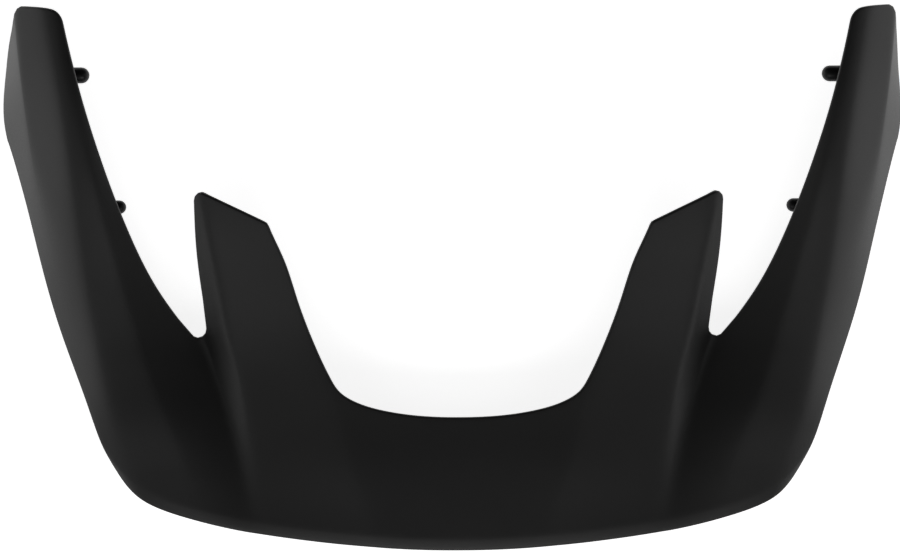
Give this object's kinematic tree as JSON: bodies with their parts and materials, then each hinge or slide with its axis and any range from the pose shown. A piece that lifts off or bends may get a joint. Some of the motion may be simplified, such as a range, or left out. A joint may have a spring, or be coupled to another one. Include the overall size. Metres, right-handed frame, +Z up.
{
  "type": "cycling helmet visor",
  "caption": "Clip-on visor for a cycling helmet: a thin arched brim with a turned-down lip, raised vent prongs and side arms that carry snap pegs.",
  "frame": {"origin": "centre of the footprint, on the surface the visor stands on with its hollow side down", "axes": "+X to the wearer's right when worn, +Y from the brim towards the ends of the arms, +Z up out of the outside face"},
  "size_m": [0.2252, 0.1346, 0.0292],
  "materials": {
    "shell_black": "fine moulded grain, matte black",
    "peg_black": "smooth, half gloss black"
  },
  "bodies": {
    "root": {"visor_shell": "shell_black", "rear_peg_left": "peg_black", "rear_peg_right": "peg_black", "front_peg_left": "peg_black", "front_peg_right": "peg_black"}
  },
  "joints": []
}
